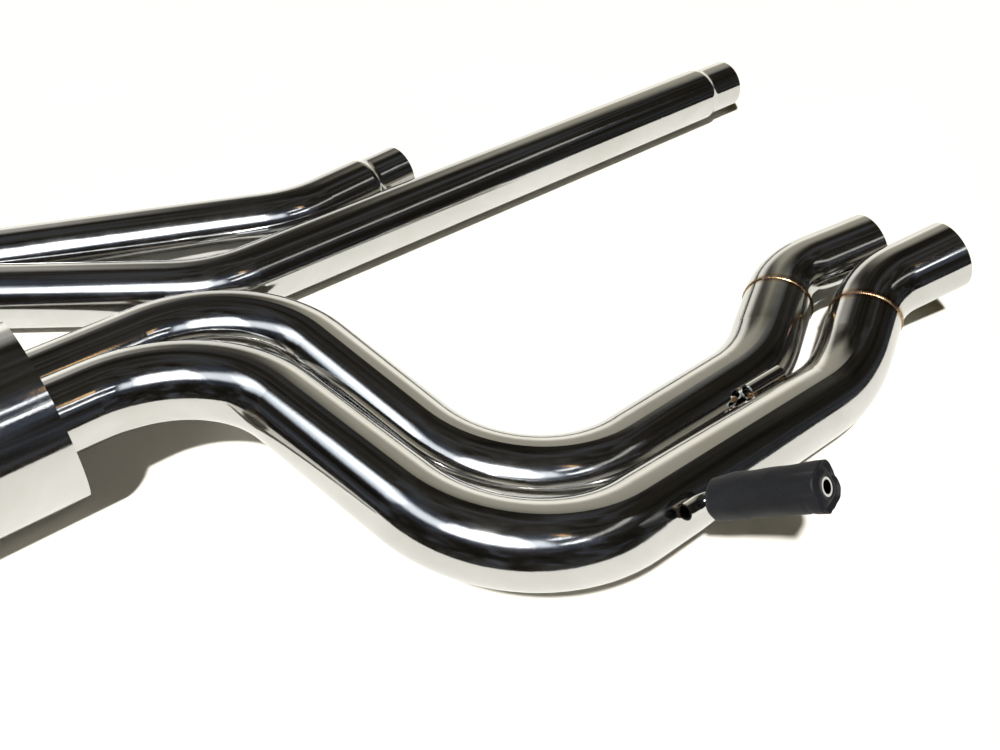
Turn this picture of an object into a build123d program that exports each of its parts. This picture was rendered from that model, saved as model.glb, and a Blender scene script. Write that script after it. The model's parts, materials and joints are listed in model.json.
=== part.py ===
from build123d import *
import math
import os

# Twin-pipe racing exhaust, laid out on the floor as a kit of two sections: a round muffler with its two
# over-axle pipes and tail pipes, and a separate crossover section. Millimetres, +Z up.
# +X runs along the muffler's axis, the way the gas leaves it. "near" is the -Y pipe and "far" the +Y pipe.

# ---- driving dimensions -------------------------------------------------------------------------------
PIPE_OD = 63.5          # 2.5 inch stainless tube
WALL = 1.5
PIPE_R = PIPE_OD / 2
BORE_R = PIPE_R - WALL
AXLE_BEND_R = 114.3     # centre-line radius of the two large bends, 1.8 diameters
SWEEP_BEND_R = 150.0    # centre-line radius of the gentle bends towards the tails
TAIL_BEND_R = 76.2      # centre-line radius of the bends in the tail pipes, 1.2 diameters

MUFFLER_R = 76.2        # 6 inch shell
MUFFLER_LEN = 400.0
RIM_SETBACK = 8.0       # how far each cap sits inside the shell's rim
CAP_FLANGE = 14.0
CORE_HALF_SPACING = 35.5
SHELL_SEAM_CLOCK = 70.0  # degrees from the top, towards the far side
NEAR_HEIGHT = 93.9      # heights of the two pipe axes in the muffler, which has rolled a little
FAR_HEIGHT = 73.7
INLET_LEN = 100.0
WOOL_THICKNESS = 2.4
WOOL_MARGIN = 10.0      # bare core left at each end of its wool
CORE_OVERLAP = 20.0     # how far inlet and outlet pipes reach in before the perforated core begins
PERF_R = 4.0
PERF_ROWS = 4           # drillings through the core at each station, evenly turned
PERF_STATIONS = 11

SWAGE_R = 28.6          # 2.25 inch slip ends of the crossover
SWAGE_LEN = 40.0
SHOULDER_LEN = 12.0
SOCKET_BORE_R = PIPE_R + 0.15
SOCKET_LEN = 50.0

ROD_R = 6.35            # half-inch hollow hanger rod
ROD_WALL = 1.6
SLEEVE_R = 15.9         # half-inch bore foam sleeve with a 3/8 inch wall
SLEEVE_LEN = 82.0
SLEEVE_CLEARANCE = 0.08
BEAD_HEIGHT = 1.2
BEAD_WIDTH = 5.0
WELD_LEG = 2.4          # fillet welds at the muffler's caps

# Bend schedules: each bend is (straight run before it, turn of the bending plane, bend angle, radius).
# The plane starts level; the angles are in degrees and a negative bend turns right.
NEAR_AXLE_BENDS = [
    (30.0, 2.0, -82.5, AXLE_BEND_R),
    (138.0, -8.0, 86.5, AXLE_BEND_R),
    (231.0, 43.5, 32.0, SWEEP_BEND_R),
]
NEAR_AXLE_END = 36.0
NEAR_TAIL_BEND = (3.0, -46.0, -42.0, TAIL_BEND_R)
NEAR_TAIL_END = 51.0
FAR_AXLE_BENDS = [
    (96.0, 4.5, -84.0, AXLE_BEND_R),
    (133.0, -3.5, 87.3, AXLE_BEND_R),
    (129.0, 12.0, 27.0, SWEEP_BEND_R),
]
FAR_AXLE_END = 57.0
FAR_TAIL_BEND = (9.0, -20.5, -43.0, TAIL_BEND_R)
FAR_TAIL_END = 64.0

# Crossover: two tubes that meet side by side, share an opening and part again.
MERGE_POINT = (-60.0, 350.0)
MERGE_HEADING = -31.7   # degrees from +X
MERGE_HALF_ANGLE = 6.4
MERGE_SPACING = 40.0    # distance between the two tubes' corners at the merge
MERGE_BEND_R = 300.0
MERGE_INLET = 190.0     # from a tube's corner back to its inlet socket
LONG_TO_BEND = 341.0
LONG_BEND = 37.8
LONG_END = 715.0
SHORT_TO_BEND = 417.0
SHORT_BEND = 31.3
SHORT_END = 140.0

# Hanger: a hollow rod welded along the near pipe, bent out to the side and upward.
HANGER_STATION = 13.0   # along the near pipe's third straight, to the rod's cut end
HANGER_CLOCK = 37.0     # degrees above level, on the outer side
HANGER_RUN = 9.0        # straight run along the pipe before the bend
HANGER_BEND_R = 13.0
HANGER_OUT = (0.28, -0.77, 0.57)
HANGER_TIP = 1.0        # bare rod between its bend and the sleeve
WELD_R = 4.5            # reach of the welds along the rods
TIE_START_X = 452.0     # the tie rod lies in the valley on top of the two pipes
TIE_LEN = 42.0
TIE_GAP = 0.1
TACK_LEN = 9.0


def unit(vector):
    return vector / vector.length


class Run:
    """A tube's centre line, built from straights and tangent arcs."""

    def __init__(self, start, heading, normal=(0, 0, 1)):
        self.point = Vector(*start)
        self.tangent = unit(Vector(*heading))
        self.normal = unit(Vector(*normal))
        self.start = self.point
        self.start_tangent = self.tangent
        self.edges = []
        self.length = 0.0

    def straight(self, length):
        end = self.point + self.tangent * length
        self.edges.append(Edge.make_line(self.point, end))
        self.point = end
        self.length += length
        return self

    def bend(self, plane_turn, angle, radius):
        self.normal = self.normal.rotate(Axis((0, 0, 0), self.tangent), plane_turn)
        side = self.normal.cross(self.tangent) * math.copysign(1, angle)
        centre = self.point + side * radius
        spin = Axis((0, 0, 0), self.normal)
        middle = centre + (self.point - centre).rotate(spin, angle / 2)
        end = centre + (self.point - centre).rotate(spin, angle)
        self.edges.append(Edge.make_three_point_arc(self.point, middle, end))
        self.point = end
        self.tangent = self.tangent.rotate(spin, angle)
        self.length += math.radians(abs(angle)) * radius
        return self

    def follow(self, bends, last_straight):
        for run, plane_turn, angle, radius in bends:
            self.straight(run)
            self.bend(plane_turn, angle, radius)
        return self.straight(last_straight)

    def solid(self, radius):
        section = Plane(origin=self.start, z_dir=self.start_tangent) * Circle(radius)
        return sweep(section, path=Wire(self.edges))

    def tube(self, outer=PIPE_R, inner=BORE_R):
        plane = Plane(origin=self.start, z_dir=self.start_tangent)
        section = plane * (Circle(outer) - Circle(inner))
        return sweep(section, path=Wire(self.edges))


def cylinder_between(start, direction, radius, length):
    plane = Plane(origin=start, z_dir=direction)
    return plane * Cylinder(radius, length, align=(Align.CENTER, Align.CENTER, Align.MIN))


def seam_bead(origin, direction, radius=PIPE_R):
    """A low weld bead that circles a pipe, centred on the joint between two tubes."""
    half = BEAD_WIDTH / 2
    plane = Plane(origin=origin, z_dir=direction)
    crown = ThreePointArc((radius, -half), (radius + BEAD_HEIGHT, 0), (radius, half))
    face = make_face([crown, Line((radius, half), (radius, -half))])
    return plane * revolve(Plane.XZ * face, Axis.Z)


def corner_bead(origin, direction, radius):
    """A fillet weld in the corner between a pipe and the plate it passes through."""
    plane = Plane(origin=origin, z_dir=direction)
    face = make_face(Polyline((radius, 0), (radius + WELD_LEG, 0), (radius, WELD_LEG), close=True))
    return plane * revolve(Plane.XZ * face, Axis.Z)


def tube_between(start, direction, outer, inner, length):
    return cylinder_between(start, direction, outer, length) - cylinder_between(start, direction, inner, length)


def socket_end(mouth, inward):
    """An expanded mouth that slips over a tube of the pipe's own diameter, and the room that it takes."""
    outer = SOCKET_BORE_R + WALL
    tapered_len = SOCKET_LEN + SHOULDER_LEN
    profile = Polyline(
        (SOCKET_BORE_R, 0), (outer, 0), (outer, SOCKET_LEN), (PIPE_R, tapered_len),
        (BORE_R, tapered_len), (SOCKET_BORE_R, SOCKET_LEN), close=True,
    )
    sleeve = revolve(Plane.XZ * make_face(profile), Axis.Z)
    room = cylinder_between(mouth, inward, outer, tapered_len)
    return Plane(origin=mouth, z_dir=inward) * sleeve, room


# ---- muffler ------------------------------------------------------------------------------------------
OUT = Vector(1, 0, 0)
BACK = Vector(-1, 0, 0)
SHELL_BORE_R = MUFFLER_R - WALL
REACH = RIM_SETBACK + WALL + CORE_OVERLAP
CORE_LEN = MUFFLER_LEN - 2 * REACH
PIPE_AXES = {
    "near": Vector(0, -CORE_HALF_SPACING, NEAR_HEIGHT),
    "far": Vector(0, CORE_HALF_SPACING, FAR_HEIGHT),
}


def muffler_shell():
    start = Vector(-MUFFLER_LEN, 0, MUFFLER_R)
    return tube_between(start, OUT, MUFFLER_R, SHELL_BORE_R, MUFFLER_LEN)


def shell_seam_weld():
    """The long weld that closes the rolled shell, on its far side."""
    clock = math.radians(SHELL_SEAM_CLOCK)
    centre = Vector(-MUFFLER_LEN, MUFFLER_R * math.sin(clock), MUFFLER_R + MUFFLER_R * math.cos(clock))
    body = cylinder_between(Vector(-MUFFLER_LEN, 0, MUFFLER_R), OUT, MUFFLER_R, MUFFLER_LEN)
    return cylinder_between(centre, OUT, BEAD_HEIGHT, MUFFLER_LEN) - body


def end_cap(face_x, outward):
    """A pressed disc with a flange turned into the shell, and a hole for each pipe."""
    inward = outward * -1
    face = Vector(face_x, 0, MUFFLER_R)
    cap = cylinder_between(face, inward, SHELL_BORE_R, CAP_FLANGE)
    cap -= cylinder_between(face + inward * WALL, inward, SHELL_BORE_R - WALL, CAP_FLANGE)
    for axis in PIPE_AXES.values():
        cap -= cylinder_between(Vector(face_x, axis.Y, axis.Z), inward, PIPE_R, WALL)
    return cap


def cap_rim_weld(face_x, outward):
    plane = Plane(origin=(face_x, 0, MUFFLER_R), z_dir=outward)
    outline = Polyline((SHELL_BORE_R, 0), (SHELL_BORE_R - WELD_LEG, 0), (SHELL_BORE_R, WELD_LEG), close=True)
    bead = plane * revolve(Plane.XZ * make_face(outline), Axis.Z)
    for axis in PIPE_AXES.values():
        bead -= cylinder_between(Vector(face_x, axis.Y, axis.Z), outward, PIPE_R + WELD_LEG, RIM_SETBACK)
    return bead


def pipe_cap_welds(face_x, outward):
    beads = [corner_bead(Vector(face_x, axis.Y, axis.Z), outward, PIPE_R) for axis in PIPE_AXES.values()]
    return Compound(children=beads)


def core_pipe(axis):
    start = Vector(REACH - MUFFLER_LEN, axis.Y, axis.Z)
    core = tube_between(start, OUT, PIPE_R, BORE_R, CORE_LEN)
    pitch = CORE_LEN / (PERF_STATIONS + 1)
    drills = []
    for station in range(PERF_STATIONS):
        for row in range(PERF_ROWS):
            turn = math.pi * (row + 0.5 * (station % 2)) / PERF_ROWS
            across = Vector(0, math.cos(turn), math.sin(turn))
            centre = start + OUT * (pitch * (station + 1))
            drills.append(cylinder_between(centre - across * PIPE_OD, across, PERF_R, 2 * PIPE_OD))
    return core - drills


def wool_wrap(axis):
    start = Vector(REACH - MUFFLER_LEN + WOOL_MARGIN, axis.Y, axis.Z)
    return tube_between(start, OUT, PIPE_R + WOOL_THICKNESS, PIPE_R, CORE_LEN - 2 * WOOL_MARGIN)


def acoustic_packing():
    inset = RIM_SETBACK + CAP_FLANGE
    start = Vector(inset - MUFFLER_LEN, 0, MUFFLER_R)
    length = MUFFLER_LEN - 2 * inset
    packing = cylinder_between(start, OUT, SHELL_BORE_R, length)
    for axis in PIPE_AXES.values():
        core_start = Vector(start.X, axis.Y, axis.Z)
        packing -= cylinder_between(core_start, OUT, PIPE_R + WOOL_THICKNESS, length)
    return packing


def inlet_pipe(axis):
    """Straight pipe with an expanded mouth, through the inlet cap and on to the perforated core."""
    mouth = axis + BACK * (MUFFLER_LEN + INLET_LEN)
    socket, room = socket_end(mouth, OUT)
    return tube_between(mouth, OUT, PIPE_R, BORE_R, REACH + INLET_LEN) - room + socket


# ---- over-axle and tail pipes ---------------------------------------------------------------------------
def axle_run(axis, bends, last_straight):
    start = axis + BACK * REACH
    return Run(start, OUT).straight(REACH).follow(bends, last_straight)


def tail_run(axle, bend, last_straight):
    run, plane_turn, angle, radius = bend
    tail = Run(axle.point, axle.tangent, axle.normal)
    return tail.straight(run).bend(plane_turn, angle, radius).straight(last_straight)


near_axle = axle_run(PIPE_AXES["near"], NEAR_AXLE_BENDS, NEAR_AXLE_END)
far_axle = axle_run(PIPE_AXES["far"], FAR_AXLE_BENDS, FAR_AXLE_END)
near_tail = tail_run(near_axle, NEAR_TAIL_BEND, NEAR_TAIL_END)
far_tail = tail_run(far_axle, FAR_TAIL_BEND, FAR_TAIL_END)


def third_straight(run):
    """The straight between the second and third bends: its start and its direction."""
    edge = run.edges[5]
    return edge.position_at(0), edge.tangent_at(0)


# ---- hanger and tie rod -----------------------------------------------------------------------------------
near_start, near_along = third_straight(near_axle)
far_start, far_along = third_straight(far_axle)
outward_level = unit(near_along.cross(Vector(0, 0, 1)))
outward_up = outward_level.cross(near_along)
clock = math.radians(HANGER_CLOCK)
hanger_side = outward_level * math.cos(clock) + outward_up * math.sin(clock)
hanger_foot = near_start + near_along * HANGER_STATION
hanger_out = unit(Vector(*HANGER_OUT))


def hanger_run():
    start = hanger_foot + hanger_side * (PIPE_R + ROD_R)
    rod = Run(start, near_along, near_along.cross(hanger_out))
    rod.straight(HANGER_RUN)
    return rod.bend(0, near_along.get_angle(hanger_out), HANGER_BEND_R)


hanger = hanger_run()
sleeve_start = hanger.point + hanger_out * HANGER_TIP
hanger.straight(HANGER_TIP + SLEEVE_LEN)


def rod_weld(start, along, length, *neighbours):
    """Weld metal in the two corners beside the line where a rod touches a pipe."""
    bead = cylinder_between(start, along, WELD_R, length)
    for solid in neighbours:
        bead -= solid
    return bead


def hanger_welds():
    pipe = cylinder_between(near_start, near_along, PIPE_R, NEAR_AXLE_BENDS[2][0])
    rod = cylinder_between(hanger.start, near_along, ROD_R, HANGER_RUN)
    return rod_weld(hanger_foot + hanger_side * PIPE_R, near_along, HANGER_RUN, pipe, rod)


def hanger_foam_sleeve():
    return tube_between(sleeve_start, hanger_out, SLEEVE_R, ROD_R + SLEEVE_CLEARANCE, SLEEVE_LEN)


def on_line(start, along, x):
    return start + along * ((x - start.X) / along.X)


def valley_point(x):
    """Where a rod's axis lies when it rests on both pipes."""
    near = on_line(near_start, near_along, x)
    far = on_line(far_start, far_along, x)
    across = far - near
    up = unit(near_along.cross(across))
    lift = math.sqrt((PIPE_R + ROD_R + TIE_GAP) ** 2 - (across.length / 2) ** 2)
    return (near + far) * 0.5 + up * lift


tie_start = valley_point(TIE_START_X)
tie_end = valley_point(TIE_START_X + TIE_LEN)
tie_along = unit(tie_end - tie_start)


def tie_rod():
    return tube_between(tie_start, tie_along, ROD_R, ROD_R - ROD_WALL, TIE_LEN)


def tie_rod_welds():
    rod = cylinder_between(tie_start, tie_along, ROD_R, TIE_LEN)
    near_pipe = near_axle.solid(PIPE_R)
    far_pipe = far_axle.solid(PIPE_R)
    tacks = []
    for offset in (0, TIE_LEN - TACK_LEN):
        centre = tie_start + tie_along * offset
        for start, along in ((near_start, near_along), (far_start, far_along)):
            pipe_point = on_line(start, along, centre.X)
            touch = centre + unit(pipe_point - centre) * ROD_R
            tacks.append(rod_weld(touch, tie_along, TACK_LEN, rod, near_pipe, far_pipe))
    joined = tacks[0]
    for tack in tacks[1:]:
        joined += tack
    return joined


# ---- crossover --------------------------------------------------------------------------------------------
def heading(degrees):
    return Vector(math.cos(math.radians(degrees)), math.sin(math.radians(degrees)), 0)


merge_axis = heading(MERGE_HEADING)
merge_side = heading(MERGE_HEADING + 90)
crossover_height = SOCKET_BORE_R + WALL      # the sockets are the widest part and lie on the floor
merge_centre = Vector(MERGE_POINT[0], MERGE_POINT[1], crossover_height)


def bend_set_back(angle, radius):
    return radius * math.tan(math.radians(abs(angle)) / 2)


def crossover_run(side, to_bend, bend, end):
    """One tube: in to the merge, away from it, then one bend onto its outlet leg. side is +1 for far."""
    corner = merge_centre + merge_side * (side * MERGE_SPACING / 2)
    inward = heading(MERGE_HEADING - side * MERGE_HALF_ANGLE)
    merge_turn = side * 2 * MERGE_HALF_ANGLE
    merge_back = bend_set_back(merge_turn, MERGE_BEND_R)
    bend_back = bend_set_back(bend, AXLE_BEND_R)
    run = Run(corner - inward * MERGE_INLET, inward)
    run.straight(MERGE_INLET - merge_back).bend(0, merge_turn, MERGE_BEND_R)
    run.straight(to_bend - merge_back - bend_back).bend(0, bend, AXLE_BEND_R)
    return run.straight(end - bend_back - SHOULDER_LEN - SWAGE_LEN)


def neck(wide, narrow):
    """Two equal arcs that ease a wall in from one radius to a smaller one over the length of the shoulder."""
    middle = ((wide + narrow) / 2, SHOULDER_LEN / 2)
    first = TangentArc((wide, 0), middle, tangent=(0, 1))
    return first + TangentArc(middle, (narrow, SHOULDER_LEN), tangent=first % 1)


def swaged_end(run):
    """The slip end: a rounded shoulder down to the smaller diameter and a straight spigot."""
    plane = Plane(origin=run.point, z_dir=run.tangent)
    tip = SHOULDER_LEN + SWAGE_LEN
    spigot_bore = SWAGE_R - WALL
    spigot = Polyline((SWAGE_R, SHOULDER_LEN), (SWAGE_R, tip), (spigot_bore, tip), (spigot_bore, SHOULDER_LEN))
    outline = Line((BORE_R, 0), (PIPE_R, 0)) + neck(PIPE_R, SWAGE_R) + spigot + neck(BORE_R, spigot_bore)
    return plane * revolve(Plane.XZ * make_face(outline), Axis.Z)


def across_the_merge(side):
    """A block on the other tube's side of the merge's mid plane, as long as the opening between them."""
    plane = Plane(origin=merge_centre, x_dir=merge_axis, z_dir=(0, 0, 1))
    return plane * Pos(0, -side * PIPE_R, 0) * Box(2 * MERGE_INLET, PIPE_OD, 2 * PIPE_OD)


long_run = crossover_run(-1, LONG_TO_BEND, LONG_BEND, LONG_END)
short_run = crossover_run(1, SHORT_TO_BEND, SHORT_BEND, SHORT_END)


def crossover_pipe(run, side):
    socket, room = socket_end(run.start, run.start_tangent)
    body = run.tube() - room - across_the_merge(side)
    return body + socket + swaged_end(run)


def crossover_merge_weld():
    """Weld metal over the line where the two cut tubes meet, above and below."""
    reach = (PIPE_R + BEAD_HEIGHT / 2 - MERGE_SPACING / 2) / math.tan(math.radians(MERGE_HALF_ANGLE))
    plane = Plane(origin=merge_centre, x_dir=merge_axis, z_dir=(0, 0, 1))
    slab = plane * Box(2 * reach, BEAD_WIDTH, 3 * PIPE_OD)
    dilated = (long_run.solid(PIPE_R + BEAD_HEIGHT) & slab) + (short_run.solid(PIPE_R + BEAD_HEIGHT) & slab)
    return dilated - long_run.solid(PIPE_R) - short_run.solid(PIPE_R)


# ---- all the pieces ---------------------------------------------------------------------------------------
INLET_FACE = RIM_SETBACK - MUFFLER_LEN
OUTLET_FACE = -RIM_SETBACK

pieces = {
    "muffler_shell": muffler_shell(),
    "shell_seam_weld": shell_seam_weld(),
    "muffler_inlet_cap": end_cap(INLET_FACE, BACK),
    "muffler_outlet_cap": end_cap(OUTLET_FACE, OUT),
    "inlet_cap_rim_weld": cap_rim_weld(INLET_FACE, BACK),
    "outlet_cap_rim_weld": cap_rim_weld(OUTLET_FACE, OUT),
    "inlet_pipe_welds": pipe_cap_welds(INLET_FACE, BACK),
    "outlet_pipe_welds": pipe_cap_welds(OUTLET_FACE, OUT),
    "acoustic_packing": acoustic_packing(),
    "over_axle_pipe_near": near_axle.tube(),
    "over_axle_pipe_far": far_axle.tube(),
    "tail_pipe_near": near_tail.tube(),
    "tail_pipe_far": far_tail.tube(),
    "tail_weld_near": seam_bead(near_axle.point, near_axle.tangent),
    "tail_weld_far": seam_bead(far_axle.point, far_axle.tangent),
    "hanger_rod": hanger.tube(ROD_R, ROD_R - ROD_WALL),
    "hanger_welds": hanger_welds(),
    "hanger_foam_sleeve": hanger_foam_sleeve(),
    "tie_rod": tie_rod(),
    "tie_rod_welds": tie_rod_welds(),
    "crossover_pipe_long": crossover_pipe(long_run, -1),
    "crossover_pipe_short": crossover_pipe(short_run, 1),
    "crossover_merge_weld": crossover_merge_weld(),
}
for name, pipe_axis in PIPE_AXES.items():
    pieces[f"core_pipe_{name}"] = core_pipe(pipe_axis)
    pieces[f"wool_wrap_{name}"] = wool_wrap(pipe_axis)
    pieces[f"inlet_pipe_{name}"] = inlet_pipe(pipe_axis)

# The kit stands on the floor with its origin under the middle of its box.
box = Compound(children=[Compound(piece.wrapped) for piece in pieces.values()]).bounding_box()
shift = Vector(-(box.min.X + box.max.X) / 2, -(box.min.Y + box.max.Y) / 2, -box.min.Z)


def report_place(name, point, direction):
    place = (point + shift) / 1000
    print(f"{name}: at {place.X:.5f} {place.Y:.5f} {place.Z:.5f} m,",
          f"axis {direction.X:.5f} {direction.Y:.5f} {direction.Z:.5f}")


report_place("tail end near", near_tail.point, near_tail.tangent)
report_place("tail end far", far_tail.point, far_tail.tangent)
for name, pipe_axis in PIPE_AXES.items():
    report_place(f"muffler inlet {name}", pipe_axis + BACK * (MUFFLER_LEN + INLET_LEN), BACK)
report_place("crossover end long", long_run.point + long_run.tangent * (SHOULDER_LEN + SWAGE_LEN), long_run.tangent)
report_place("crossover end short", short_run.point + short_run.tangent * (SHOULDER_LEN + SWAGE_LEN),
             short_run.tangent)
report_place("crossover socket long", long_run.start, long_run.start_tangent * -1)
report_place("crossover socket short", short_run.start, short_run.start_tangent * -1)
report_place("hanger rod end", hanger.point, hanger_out)
report_place("muffler centre", Vector(-MUFFLER_LEN / 2, 0, MUFFLER_R), OUT)
print("size", box.size)

os.makedirs("parts", exist_ok=True)
for name, piece in pieces.items():
    export_step(piece.moved(Location(shift)), f"parts/{name}.step")
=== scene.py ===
import json
import math

import bmesh
import bpy
import numpy
from mathutils import Matrix, Vector, noise


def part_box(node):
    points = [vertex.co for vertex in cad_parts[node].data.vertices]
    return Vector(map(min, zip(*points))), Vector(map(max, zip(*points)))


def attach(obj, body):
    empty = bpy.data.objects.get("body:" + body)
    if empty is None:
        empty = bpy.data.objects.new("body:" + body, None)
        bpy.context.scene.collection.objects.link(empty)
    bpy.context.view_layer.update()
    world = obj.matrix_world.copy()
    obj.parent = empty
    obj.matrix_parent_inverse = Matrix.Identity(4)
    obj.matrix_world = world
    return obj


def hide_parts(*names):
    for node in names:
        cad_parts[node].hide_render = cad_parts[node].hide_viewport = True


# The looks of a racing exhaust kit: polished steel tubes, heat-tinted welds, a foam sleeve on the hanger.
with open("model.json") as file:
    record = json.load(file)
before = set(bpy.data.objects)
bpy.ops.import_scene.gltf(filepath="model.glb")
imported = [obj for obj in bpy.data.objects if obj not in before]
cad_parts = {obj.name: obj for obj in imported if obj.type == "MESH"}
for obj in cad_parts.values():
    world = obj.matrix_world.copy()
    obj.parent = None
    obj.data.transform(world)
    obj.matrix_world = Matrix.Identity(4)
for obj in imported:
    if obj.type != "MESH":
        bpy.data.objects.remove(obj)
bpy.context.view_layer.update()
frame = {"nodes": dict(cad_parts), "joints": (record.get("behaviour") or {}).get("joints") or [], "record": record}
NODES = frame["nodes"]
JOINTS = {joint["name"]: joint for joint in frame["joints"]}
MM = 0.001


# ---- measuring the frame -------------------------------------------------------------------------
def vertices(node):
    """Every vertex of a CAD node, as rows of an array, in metres."""
    mesh = NODES[node].data
    found = numpy.empty(3 * len(mesh.vertices))
    mesh.vertices.foreach_get("co", found)
    return found.reshape(-1, 3)


def along_and_out(points, centre, axis):
    """How far points lie along an axis through a centre, and how far they lie from it."""
    offsets = points - centre
    along = offsets @ axis
    return along, numpy.linalg.norm(offsets - numpy.outer(along, axis), axis=1)


class Ring:
    """Where a CAD ring lies: its middle, its axis, and its inner and outer radius."""

    def __init__(self, node):
        points = vertices(node)
        centre = (points.min(axis=0) + points.max(axis=0)) / 2
        for _ in range(3):
            spread = numpy.linalg.svd(points - centre, full_matrices=False)[2]
            axis = spread[2]
            centre = centre + axis * ((points - centre) @ axis).mean()
        radii = along_and_out(points, centre, axis)[1]
        self.centre, self.axis = Vector(centre), Vector(axis)
        self.inner, self.outer = radii.min(), radii.max()


# ---- node helpers --------------------------------------------------------------------------------
class Graph:
    """A few short calls for building a node tree."""

    def __init__(self, tree):
        self.tree = tree

    def node(self, kind, **settings):
        made = self.tree.nodes.new(kind)
        for name, value in settings.items():
            setattr(made, name, value)
        return made

    def link(self, source, target):
        self.tree.links.new(source, target)

    def maths(self, operation, *values):
        made = self.node("ShaderNodeMath", operation=operation)
        for socket, value in zip(made.inputs, values):
            if isinstance(value, (int, float)):
                socket.default_value = value
            else:
                self.link(value, socket)
        return made.outputs[0]

    def place(self):
        """Coordinates that stay with the piece when its body moves."""
        return self.node("ShaderNodeTexCoord").outputs["Object"]

    def stretched(self, scale):
        mapping = self.node("ShaderNodeMapping")
        mapping.inputs["Scale"].default_value = scale
        self.link(self.place(), mapping.inputs["Vector"])
        return mapping.outputs["Vector"]

    def noise(self, scale, detail=4.0, roughness=0.5, vector=None, distortion=0.0):
        made = self.node("ShaderNodeTexNoise")
        made.inputs["Scale"].default_value = scale
        made.inputs["Detail"].default_value = detail
        made.inputs["Roughness"].default_value = roughness
        made.inputs["Distortion"].default_value = distortion
        self.link(vector or self.place(), made.inputs["Vector"])
        return made.outputs["Fac"]

    def ramp(self, source, stops):
        made = self.node("ShaderNodeValToRGB")
        ends = made.color_ramp.elements
        while len(ends) < len(stops):
            ends.new(0.5)
        for element, (at, colour) in zip(ends, stops):
            element.position = at
            element.color = (*colour, 1)
        self.link(source, made.inputs["Fac"])
        return made.outputs["Color"]

    def spread(self, source, low, high, to_low=0.0, to_high=1.0, smooth=False):
        """Stretches the range low to high over the range to_low to to_high."""
        made = self.node("ShaderNodeMapRange")
        if smooth:
            made.interpolation_type = "SMOOTHSTEP"
        for name, value in (("From Min", low), ("From Max", high), ("To Min", to_low), ("To Max", to_high)):
            made.inputs[name].default_value = value
        self.link(source, made.inputs["Value"])
        return made.outputs["Result"]

    def mix(self, factor, first, second, blend="MIX"):
        made = self.node("ShaderNodeMix", data_type="RGBA", blend_type=blend)
        self.link(factor, made.inputs["Factor"])
        for socket, value in ((made.inputs["A"], first), (made.inputs["B"], second)):
            if isinstance(value, tuple):
                socket.default_value = (*value, 1)
            else:
                self.link(value, socket)
        return made.outputs["Result"]

    def clouded(self, source, low, high, first, second):
        """Two colours mixed where a noise runs from low to high."""
        return self.mix(self.spread(source, low, high), first, second)


class Finish(Graph):
    """A material's node tree, with its Principled shader."""

    def __init__(self, name, metallic=0.0, roughness=0.5):
        self.material = bpy.data.materials.new(name)
        self.material.use_nodes = True
        super().__init__(self.material.node_tree)
        self.shader = self.tree.nodes["Principled BSDF"].inputs
        self.shader["Metallic"].default_value = metallic
        self.shader["Roughness"].default_value = roughness

    def bump(self, height, strength, distance, under=None):
        made = self.node("ShaderNodeBump")
        made.inputs["Strength"].default_value = strength
        made.inputs["Distance"].default_value = distance
        self.link(height, made.inputs["Height"])
        if under is not None:
            self.link(under, made.inputs["Normal"])
        self.link(made.outputs["Normal"], self.shader["Normal"])
        return made.outputs["Normal"]


# ---- materials -----------------------------------------------------------------------------------
HEAT_REACH = 7 * MM      # how far the straw tint runs from a weld
STRAW_TINT = [(0.0, (1.0, 1.0, 1.0)), (0.35, (1.0, 0.93, 0.74)), (0.7, (0.80, 0.60, 0.40)),
              (0.93, (0.42, 0.30, 0.36))]
WELD_OXIDES = [(0.30, (0.07, 0.04, 0.025)), (0.46, (0.20, 0.11, 0.055)), (0.56, (0.52, 0.36, 0.18)),
               (0.62, (0.26, 0.13, 0.09)), (0.74, (0.14, 0.12, 0.20))]
TAIL_RINGS = [Ring("tail_weld_near"), Ring("tail_weld_far")]


def heat_band(g, ring):
    """1 at a weld on a pipe, falling to 0 where the pipe stayed cool."""
    away = g.node("ShaderNodeVectorMath", operation="DISTANCE")
    g.link(g.place(), away.inputs[0])
    away.inputs[1].default_value = ring.centre
    reach = math.hypot(ring.inner, HEAT_REACH)
    return g.spread(away.outputs["Value"], ring.inner, reach, 1.0, 0.0)


def polished_steel():
    """Mirror-polished stainless tube: haze, wiped smears, marks of the wheel, straw tint at the welds."""
    g = Finish("polished_stainless", metallic=1.0)
    smear = g.noise(9.0, detail=5.0, roughness=0.6, distortion=1.2)
    haze = g.noise(55.0, detail=6.0, roughness=0.65)
    scratch = g.noise(260.0, detail=4.0, roughness=0.7, vector=g.stretched((0.06, 1.0, 1.0)))
    colour = g.clouded(smear, 0.35, 0.7, (0.60, 0.59, 0.565), (0.68, 0.675, 0.66))
    for ring in TAIL_RINGS:
        warm = heat_band(g, ring)
        strength = g.spread(warm, 0.0, 0.3, 0.0, 0.8)
        colour = g.mix(strength, colour, g.ramp(warm, STRAW_TINT), blend="MULTIPLY")
    g.link(colour, g.shader["Base Color"])
    clean = g.spread(smear, 0.40, 0.72, 0.055, 0.11)
    blotch = g.spread(haze, 0.45, 0.8, 0.0, 0.05)
    g.link(g.maths("ADD", clean, blotch), g.shader["Roughness"])
    waves = g.bump(g.noise(22.0, detail=2.0, roughness=0.4), 1.0, 0.22 * MM)
    grain = g.bump(g.noise(520.0, detail=3.0, roughness=0.65), 0.10, 0.20 * MM, under=waves)
    g.bump(scratch, 0.12, 0.16 * MM, under=grain)
    return g.material


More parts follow.
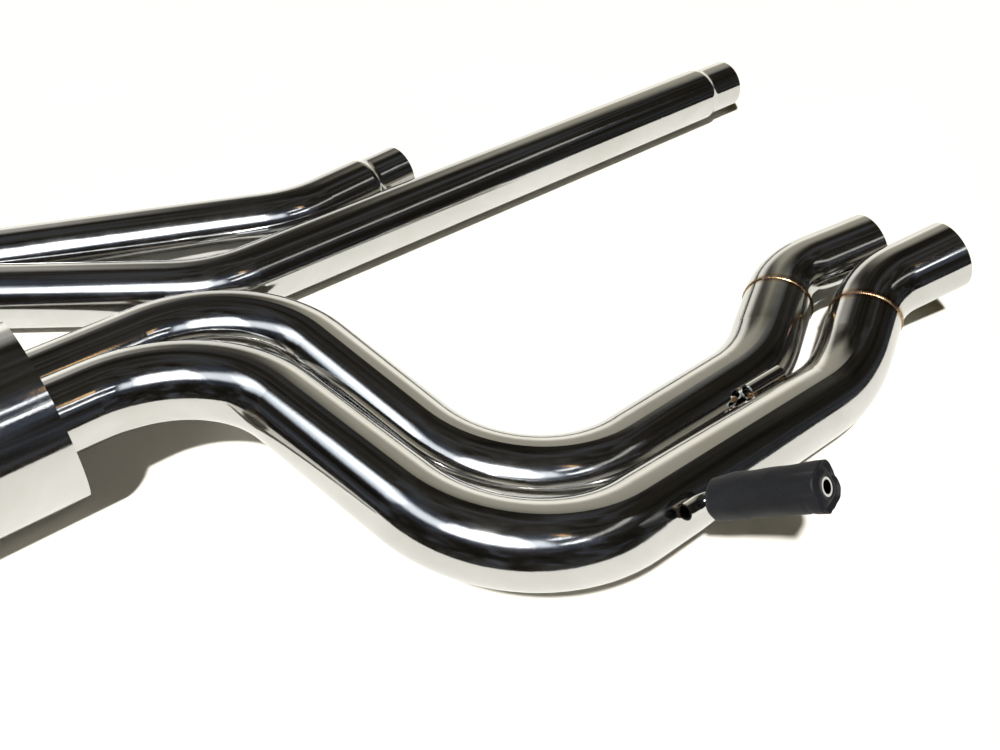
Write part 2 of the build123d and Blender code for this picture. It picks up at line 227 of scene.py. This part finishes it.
def weld_metal():
    """A weld bead's brown, straw and blue oxide colours over a satin surface."""
    g = Finish("tinted_weld", metallic=1.0)
    heat = g.noise(85.0, detail=4.0, roughness=0.65)
    g.link(g.ramp(heat, WELD_OXIDES), g.shader["Base Color"])
    g.link(g.spread(heat, 0.3, 0.7, 0.18, 0.34), g.shader["Roughness"])
    g.bump(g.noise(1300.0, detail=2.0), 0.35, 0.3 * MM)
    return g.material


def mill_steel():
    """Plain cold-rolled sheet, greyer and duller than the polished tube."""
    g = Finish("perforated_stainless", metallic=1.0)
    cloud = g.noise(30.0, detail=5.0)
    g.link(g.mix(cloud, (0.42, 0.41, 0.39), (0.58, 0.57, 0.55)), g.shader["Base Color"])
    g.link(g.spread(cloud, 0.3, 0.7, 0.3, 0.45), g.shader["Roughness"])
    g.bump(g.noise(800.0, detail=2.0), 0.1, 0.2 * MM)
    return g.material


def fibrous(name, dark, light, scale, metallic):
    """Matted strands, for the steel wool and the glass fibre inside the muffler."""
    g = Finish(name, metallic=metallic, roughness=0.8)
    lengthwise = g.stretched((0.25, 1.0, 1.0))
    strands = g.noise(scale, detail=8.0, roughness=0.75, vector=lengthwise, distortion=2.0)
    g.link(g.clouded(strands, 0.35, 0.65, dark, light), g.shader["Base Color"])
    g.bump(strands, 0.9, 2 * MM)
    return g.material


def foam():
    """Closed-cell foam rubber, blue-black, with fine cells and a faint bloom."""
    g = Finish("black_foam", roughness=0.6)
    bloom = g.noise(45.0, detail=5.0, roughness=0.6)
    specks = g.noise(900.0, detail=2.0, roughness=0.7)
    cells = g.node("ShaderNodeTexVoronoi")
    cells.inputs["Scale"].default_value = 1400.0
    g.link(g.place(), cells.inputs["Vector"])
    base = g.clouded(bloom, 0.35, 0.7, (0.0027, 0.0030, 0.0042), (0.0049, 0.0055, 0.0077))
    speckled = g.mix(g.spread(specks, 0.62, 0.75, 0.0, 0.6), base, (0.016, 0.018, 0.023))
    g.link(speckled, g.shader["Base Color"])
    g.shader["Specular IOR Level"].default_value = 0.24
    g.shader["Sheen Weight"].default_value = 0.03
    g.shader["Sheen Roughness"].default_value = 0.5
    lumps = g.bump(g.noise(300.0, detail=4.0), 0.25, 0.4 * MM)
    g.bump(cells.outputs["Distance"], 0.3, 0.25 * MM, under=lumps)
    return g.material


SLOTS = {
    "polished_stainless": polished_steel(),
    "tinted_weld": weld_metal(),
    "perforated_stainless": mill_steel(),
    "steel_wool": fibrous("steel_wool", (0.12, 0.12, 0.12), (0.55, 0.55, 0.56), 500.0, 0.9),
    "glass_fibre": fibrous("glass_fibre", (0.55, 0.5, 0.36), (0.88, 0.84, 0.7), 300.0, 0.0),
    "black_foam": foam(),
}
for part in frame["record"]["subparts"]:
    for place in NODES[part["node"]].material_slots:
        place.material = SLOTS[part["material_slot"]]


# ---- mesh pieces ---------------------------------------------------------------------------------
def across(axis):
    """Two unit vectors square to the axis and to each other."""
    side = axis.orthogonal().normalized()
    return side, axis.cross(side)


def closed_loft(bm, rings):
    """Skins a list of equal rings of points, the last one on to the first."""
    made = [[bm.verts.new(point) for point in ring] for ring in rings]
    for ring, following in zip(made, made[1:] + made[:1]):
        for i in range(len(ring)):
            j = (i + 1) % len(ring)
            bm.faces.new((ring[i], ring[j], following[j], following[i]))


def new_object(name, bm, material):
    """Turns a bmesh into an object with one material."""
    mesh = bpy.data.meshes.new(name)
    bm.to_mesh(mesh)
    bm.free()
    mesh.materials.append(material)
    made = bpy.data.objects.new(name, mesh)
    bpy.context.scene.collection.objects.link(made)
    return made


def finished_piece(name, bm, slot, body, *replaced):
    """Turns a bmesh into a smooth piece that rides on a body and stands for CAD nodes."""
    bmesh.ops.recalc_face_normals(bm, faces=bm.faces)
    piece = new_object(name, bm, SLOTS[slot])
    piece.data.shade_smooth()
    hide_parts(*replaced)
    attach(piece, body)
    return piece


# ---- weld beads ----------------------------------------------------------------------------------
RIPPLE_PITCH = 1.9 * MM
RIPPLE_STEPS = 5          # rings of points to a ripple
RIPPLE_LEAN = 1.1         # how far the ripples' crescents trail at the middle of the bead, as an angle
BEAD_POINTS = 8           # spans across the bead's skin
BEAD_ROOT = 0.35 * MM     # how far the bead's underside is sunk in the steel
BEAD_TOE = 0.1 * MM       # how far its edges are sunk in it
TAIL_BEAD_WIDTH = 3.8 * MM
CORNER_CROWN = 0.7 * MM   # how far a corner weld bulges past a flat fillet


def bead(bm, centre, axis, foot, head, crown, outward):
    """A weld run round an axis, between two toes, with ripples across it like a row of coins.

    The toes foot and head and the bulge's direction are given as (away from the axis, along it).
    """
    side, up = across(axis)
    foot, head = Vector(foot), Vector(head)
    chord = head - foot
    out = Vector((chord.y, -chord.x)).normalized()
    if out.dot(Vector(outward)) < 0:
        out = -out
    root = (foot + head) / 2 - out * BEAD_ROOT
    ripples = round(2 * math.pi * foot.x / RIPPLE_PITCH)
    steps = ripples * RIPPLE_STEPS
    rings = []
    for step in range(steps):
        turn = 2 * math.pi * step / steps
        wander = 1 + 0.12 * noise.noise(Vector((math.cos(turn), math.sin(turn), centre.x)) * 9)
        spoke = side * math.cos(turn) + up * math.sin(turn)
        ring = []
        for k in range(BEAD_POINTS + 1):
            t = k / BEAD_POINTS
            arch = math.sin(math.pi * t)
            coin = 0.70 + 0.30 * abs(math.sin(ripples * turn / 2 - RIPPLE_LEAN * arch)) ** 0.7
            bulge = out * (crown * arch * coin * wander - BEAD_TOE)
            flat = foot + chord * (0.5 + (t - 0.5) * wander) + bulge
            ring.append(centre + spoke * flat.x + axis * flat.y)
        ring.append(centre + spoke * root.x + axis * root.y)
        rings.append(ring)
    closed_loft(bm, rings)


def tail_weld(name, ring):
    """The butt weld between an over-axle pipe and its tail pipe, proud all round."""
    bm = bmesh.new()
    half = TAIL_BEAD_WIDTH / 2
    crown = ring.outer - ring.inner
    bead(bm, ring.centre, ring.axis, (ring.inner, -half), (ring.inner, half), crown, (1, 0))
    finished_piece(name + "_bead", bm, "tinted_weld", "muffler_section", name)


def cap_welds(end, outward):
    """The welds at one end of the muffler: cap to shell's rim, and cap to both pipes."""
    rim, pipes = end + "_cap_rim_weld", end + "_pipe_welds"
    low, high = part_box(rim)
    leg = high.x - low.x
    axis = Vector((outward, 0, 0))
    face = low.x if outward > 0 else high.x
    radius = (high.z - low.z) / 2
    bm = bmesh.new()
    centre = Vector((face, (low.y + high.y) / 2, (low.z + high.z) / 2))
    bead(bm, centre, axis, (radius, leg), (radius - leg, 0), CORNER_CROWN, (-1, 1))
    finished_piece(rim + "_bead", bm, "tinted_weld", "muffler_section", rim)
    bm = bmesh.new()
    for core in ("core_pipe_near", "core_pipe_far"):
        core_low, core_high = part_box(core)
        centre = (core_low + core_high) / 2
        centre.x = face
        radius = (core_high.z - core_low.z) / 2
        bead(bm, centre, axis, (radius, leg), (radius + leg, 0), CORNER_CROWN, (1, 1))
    finished_piece(pipes + "_bead", bm, "tinted_weld", "muffler_section", pipes)


# ---- foam sleeve ---------------------------------------------------------------------------------
SLEEVE_SEGMENTS = 88
RIB_PITCH = 1.3 * MM
RIB_STEPS = 4
RIB_HEIGHT = 0.10 * MM
LIP = 2.6 * MM             # the rounding of the sleeve's cut ends
LIP_STEPS = 4
CREASE_FROM = 0.72         # how far along the sleeve the creases begin, as a share of its length
CREASE_WIDTH = 0.13        # radians
CREASES = ((0.4, 0.8), (1.5, 0.6), (2.3, 0.9), (4.1, 0.5), (5.3, 0.8))   # round the sleeve, and depth in mm
FOLD_AT, FOLD_WIDTH = 0.87, 0.022
FOLD_SIDE = 0.9            # radians round the sleeve
FOLD_DEPTH = 0.7 * MM
LUMP = 0.8 * MM
BULGE = 0.3 * MM
SQUARING = 1.3 * MM        # how square the outer end was pressed
SAG = 1.4 * MM
SLUMP = 2.2 * MM           # how far the top of the inner end has sunk
SLUMP_REACH = 0.28
RAGGED = 0.5 * MM


def sleeve_profile(bore, outer, length):
    """The sleeve's section as (distance along it, radius, share of the skin's unevenness that it takes)."""
    middle_wall = (bore + outer - LIP) / 2
    quarter = [math.pi / 2 * step / LIP_STEPS for step in range(LIP_STEPS + 1)]
    profile = [(0.0, bore, 0.0), (0.0, middle_wall, 0.5)]
    for turn in quarter:
        profile.append((LIP * (1 - math.sin(turn)), outer - LIP + LIP * math.sin(turn), 1.0))
    steps = round((length - 2 * LIP) / RIB_PITCH) * RIB_STEPS
    for step in range(1, steps):
        rib = RIB_HEIGHT * math.cos(2 * math.pi * step / RIB_STEPS)
        profile.append((LIP + (length - 2 * LIP) * step / steps, outer + rib, 1.0))
    for turn in reversed(quarter):
        profile.append((length - LIP * (1 - math.sin(turn)), outer - LIP + LIP * math.sin(turn), 1.0))
    profile += [(length, middle_wall, 0.5), (length, bore, 0.0), (length / 2, bore, 0.0)]
    return profile


def pucker(t, turn):
    """How far the skin sinks near the outer end, at share t of the length and a turn round the axis."""
    one_sided = 0.5 + 0.5 * math.cos(turn - FOLD_SIDE)
    fold = math.exp(-(((t - FOLD_AT) / FOLD_WIDTH) ** 2)) * one_sided * FOLD_DEPTH
    if t < CREASE_FROM:
        return fold
    grow = math.sin(math.pi * min((t - CREASE_FROM) / 0.5, 0.5))
    dents = 0.0
    for at, depth in CREASES:
        aside = (turn - at + math.pi) % (2 * math.pi) - math.pi
        dents += depth * MM * math.exp(-((aside / CREASE_WIDTH) ** 2))
    return fold + grow * dents


def skin_shift(t, turn, spoke, axis):
    """How far the skin stands off a true cylinder: lumps, bulge, squared end, sag, slump and creases."""
    lump = LUMP * noise.noise(spoke * 1.3 + axis * (t * 5))
    bulge = BULGE * math.sin(math.pi * t)
    square = SQUARING * t**4 * math.cos(4 * turn)
    sag = SAG * math.sin(math.pi * t) * max(0.0, -spoke.z)
    slumped = SLUMP * max(0.0, 1 - t / SLUMP_REACH) ** 2 * max(0.0, spoke.z)
    return lump + bulge + square - sag - slumped - pucker(t, turn)


def foam_sleeve():
    """The foam sleeve: finely ribbed, a little bulged and bowed, puckered at its outer end."""
    axis = Vector(JOINTS["sleeve_slide"]["axis"]).normalized()
    points = vertices("hanger_foam_sleeve")
    middle = (points.min(axis=0) + points.max(axis=0)) / 2
    along, radii = along_and_out(points, middle, numpy.array(axis))
    length = along.max() - along.min()
    foot = Vector(middle) + axis * along.min()
    side, up = across(axis)
    rings = []
    for distance, base, skin in sleeve_profile(radii.min(), radii.max(), length):
        t = distance / length
        ring = []
        for k in range(SLEEVE_SEGMENTS):
            turn = 2 * math.pi * k / SLEEVE_SEGMENTS
            spoke = side * math.cos(turn) + up * math.sin(turn)
            radius = base + skin * skin_shift(t, turn, spoke, axis)
            ragged = RAGGED * noise.noise(spoke * 2.1) * skin * (2 * t - 1)
            ring.append(foot + axis * (distance - ragged) + spoke * radius)
        rings.append(ring)
    bm = bmesh.new()
    closed_loft(bm, rings)
    sleeve = finished_piece("foam_sleeve", bm, "black_foam", "hanger_sleeve", "hanger_foam_sleeve")


for weld, weld_ring in zip(("tail_weld_near", "tail_weld_far"), TAIL_RINGS):
    tail_weld(weld, weld_ring)
cap_welds("inlet", -1)
cap_welds("outlet", 1)
foam_sleeve()


# ---- floor ---------------------------------------------------------------------------------------
SHELL_LOW, SHELL_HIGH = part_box("muffler_shell")
# The middle of the muffler's outlet rim, set down on the floor: camera and paper are placed from here.
OUTLET_FOOT = Vector((SHELL_HIGH.x, (SHELL_LOW.y + SHELL_HIGH.y) / 2, 0))
TOWARDS_CAMERA = Vector((-0.634, -0.773, 0))
BESIDE_CAMERA = Vector((-TOWARDS_CAMERA.y, TOWARDS_CAMERA.x, 0))
FLOOR_HALF = 2.6
FLOOR_DROP = 0.5 * MM
PAPER_NEAR = 0.42         # where the mirrored paper ends in front of the camera
PAPER_FAR = 2.4
PAPER_DROP = 0.3 * MM     # above the wide floor, so that the two don't fight


def paper_finish(name, low, high):
    """Matt pale paper, clouded a little."""
    g = Finish(name, roughness=0.7)
    g.link(g.mix(g.noise(2.0, detail=3.0), low, high), g.shader["Base Color"])
    g.shader["Specular IOR Level"].default_value = 0.0
    return g.material


def floor_plane(name, corners, drop, material):
    """A flat stage piece a little below the object's feet."""
    bm = bmesh.new()
    bm.faces.new([bm.verts.new((x, y, -drop)) for x, y in corners])
    plane = new_object(name, bm, material)
    return plane


def stage_floor():
    """A wide pale floor for the eye, and a paper for the steel to mirror, which ends short of the camera."""
    seen = paper_finish("floor_paper", (0.72, 0.69, 0.625), (0.75, 0.72, 0.655))
    square = [(x * FLOOR_HALF, y * FLOOR_HALF) for x, y in ((-1, -1), (1, -1), (1, 1), (-1, 1))]
    wide = floor_plane("floor", square, FLOOR_DROP, seen)
    wide.visible_glossy = False
    mirrored = paper_finish("floor_paper_mirrored", (0.64, 0.64, 0.615), (0.67, 0.67, 0.65))
    corners = []
    for near, aside in ((PAPER_NEAR, -FLOOR_HALF), (PAPER_NEAR, FLOOR_HALF), (-PAPER_FAR, FLOOR_HALF),
                        (-PAPER_FAR, -FLOOR_HALF)):
        corners.append((OUTLET_FOOT + TOWARDS_CAMERA * near + BESIDE_CAMERA * aside).xy)
    paper = floor_plane("floor_mirrored", corners, PAPER_DROP, mirrored)
    paper.visible_camera = False
    paper.visible_diffuse = False
    paper.visible_shadow = False


# ---- light ---------------------------------------------------------------------------------------
KEY_FROM = (-140, 54)     # azimuth from +X towards +Y and elevation, in degrees
KEY_STRENGTH = 6.2
KEY_WIDTH = 2.5           # degrees
KEY_COLOUR = (1.0, 0.99, 0.97)
FILL = (0.026, 0.022, 0.0)
STUDIO = (1.0, 1.0, 0.99)
# The dark room from straight below to straight above, as (share of the way up, colour).
WALLS = [(0.0, (0.03, 0.028, 0.022)), (0.49, (0.03, 0.028, 0.022)), (0.53, (0.016, 0.015, 0.012)),
         (0.75, (0.024, 0.021, 0.016)), (0.9, (0.032, 0.029, 0.022))]
# Soft lights around the room: azimuth and elevation of the middle, half width and half height, softness
# of the edge, all in degrees, then colour and strength.
SOFT_LIGHTS = (
    (-142, 51, 24, 6, 9, (0.90, 0.94, 1.0), 2.6),
    (-164, 48, 62, 3, 8, (0.86, 0.92, 1.0), 1.25),
    (-150, 49, 70, 9, 16, (0.45, 0.62, 1.0), 0.07),
    (140, 42, 10, 4, 9, (0.82, 0.90, 1.0), 1.3),
    (-84, 43, 9, 1.0, 1.0, (0.92, 0.95, 1.0), 2.4),
    (-84, 55, 9, 0.8, 1.0, (0.92, 0.95, 1.0), 2.2),
    (-58, 45, 24, 0.8, 2.4, (0.97, 0.97, 0.92), 0.60),
    (-74, 60, 1.5, 1.5, 2.5, (1.0, 0.60, 0.22), 1.3),
    (56, 0, 45, 8, 14, (1.0, 0.98, 0.90), 0.85),
    (56, 10, 45, 10, 24, (1.0, 0.95, 0.80), 0.08),
    (38, 22, 10, 12, 16, (1.0, 0.96, 0.80), 0.35),
    (98, 14, 14, 20, 16, (1.0, 0.98, 0.90), 0.38),
)


def direction(azimuth, elevation):
    """Unit vector: azimuth in degrees from +X towards +Y, elevation above the floor."""
    a, e = math.radians(azimuth), math.radians(elevation)
    return Vector((math.cos(a) * math.cos(e), math.sin(a) * math.cos(e), math.sin(e)))


def key_light():
    """The one lamp that casts shadows."""
    data = bpy.data.lights.new("key", "SUN")
    data.energy = KEY_STRENGTH
    data.angle = math.radians(KEY_WIDTH)
    data.color = KEY_COLOUR
    lamp = bpy.data.objects.new("key", data)
    bpy.context.scene.collection.objects.link(lamp)
    lamp.rotation_mode = "QUATERNION"
    lamp.rotation_quaternion = direction(*KEY_FROM).to_track_quat("Z", "Y")


def with_soft_light(g, total, azimuth, elevation, light):
    """Adds one soft rectangle of light to the room's colour."""
    at, height, half_wide, half_high, soft, colour, strength = light
    turned = g.maths("WRAP", g.maths("SUBTRACT", azimuth, math.radians(at)), math.pi, -math.pi)
    aside = g.maths("ABSOLUTE", turned)
    above = g.maths("ABSOLUTE", g.maths("SUBTRACT", elevation, math.radians(height)))
    wide, high, edge = math.radians(half_wide), math.radians(half_high), math.radians(soft)
    across_it = g.spread(aside, wide + edge, wide, smooth=True)
    up_it = g.spread(above, high + edge, high, smooth=True)
    shine = tuple(strength * part for part in colour)
    return g.mix(g.maths("MULTIPLY", across_it, up_it), total, shine, blend="ADD")


def dark_room(g):
    """The colour of the workshop round the object: dark walls, vague clutter and the soft lights."""
    towards = g.node("ShaderNodeTexCoord").outputs["Generated"]
    parts = g.node("ShaderNodeSeparateXYZ")
    g.link(towards, parts.inputs[0])
    azimuth = g.maths("ARCTAN2", parts.outputs["Y"], parts.outputs["X"])
    elevation = g.maths("ARCSINE", parts.outputs["Z"])
    total = g.ramp(g.spread(elevation, -math.pi / 2, math.pi / 2), WALLS)
    clutter = g.noise(3.2, detail=6.0, roughness=0.62, vector=towards, distortion=0.8)
    total = g.mix(g.spread(clutter, 0.50, 0.72), total, (0.050, 0.062, 0.088), blend="ADD")
    total = g.mix(g.spread(clutter, 0.50, 0.36), total, (0.006, 0.006, 0.005))
    for light in SOFT_LIGHTS:
        total = with_soft_light(g, total, azimuth, elevation, light)
    return total


def plain_background(g, colour):
    made = g.node("ShaderNodeBackground")
    made.inputs["Color"].default_value = (*colour, 1)
    return made.outputs[0]


def either(g, factor, first, second):
    made = g.node("ShaderNodeMixShader")
    for socket, source in zip(made.inputs, (factor, first, second)):
        g.link(source, socket)
    return made.outputs[0]


def room():
    """The steel mirrors a dark workshop with soft windows; the eye sees a pale studio; the rest is fill."""
    world = bpy.data.worlds.new("room")
    bpy.context.scene.world = world
    world.use_nodes = True
    world.node_tree.nodes.clear()
    g = Graph(world.node_tree)
    workshop = g.node("ShaderNodeBackground")
    g.link(dark_room(g), workshop.inputs["Color"])
    ray = g.node("ShaderNodeLightPath").outputs
    unseen = either(g, ray["Is Glossy Ray"], plain_background(g, FILL), workshop.outputs[0])
    shown = either(g, ray["Is Camera Ray"], unseen, plain_background(g, STUDIO))
    g.link(shown, g.node("ShaderNodeOutputWorld").inputs["Surface"])


# ---- camera --------------------------------------------------------------------------------------
SENSOR = 36.0             # mm
LENS = 37.44              # mm
CAMERA_STAND = Vector((-0.0845, -0.7067, 0.615))   # from the foot of the muffler's outlet rim
CAMERA_RIGHT = Vector((0.7855, -0.6183, -0.0247))
CAMERA_UP = Vector((0.4128, 0.4938, 0.7654))


def camera():
    data = bpy.data.cameras.new("camera")
    data.sensor_width = SENSOR
    data.lens = LENS
    data.clip_start = 0.02
    eye = bpy.data.objects.new("camera", data)
    bpy.context.scene.collection.objects.link(eye)
    turn = Matrix((CAMERA_RIGHT, CAMERA_UP, CAMERA_RIGHT.cross(CAMERA_UP))).transposed().to_4x4()
    eye.matrix_world = Matrix.Translation(OUTLET_FOOT + CAMERA_STAND) @ turn
    bpy.context.scene.camera = eye


camera()
stage_floor()
key_light()
room()
bpy.context.scene.view_settings.view_transform = "Standard"
bpy.context.scene.view_settings.look = "None"
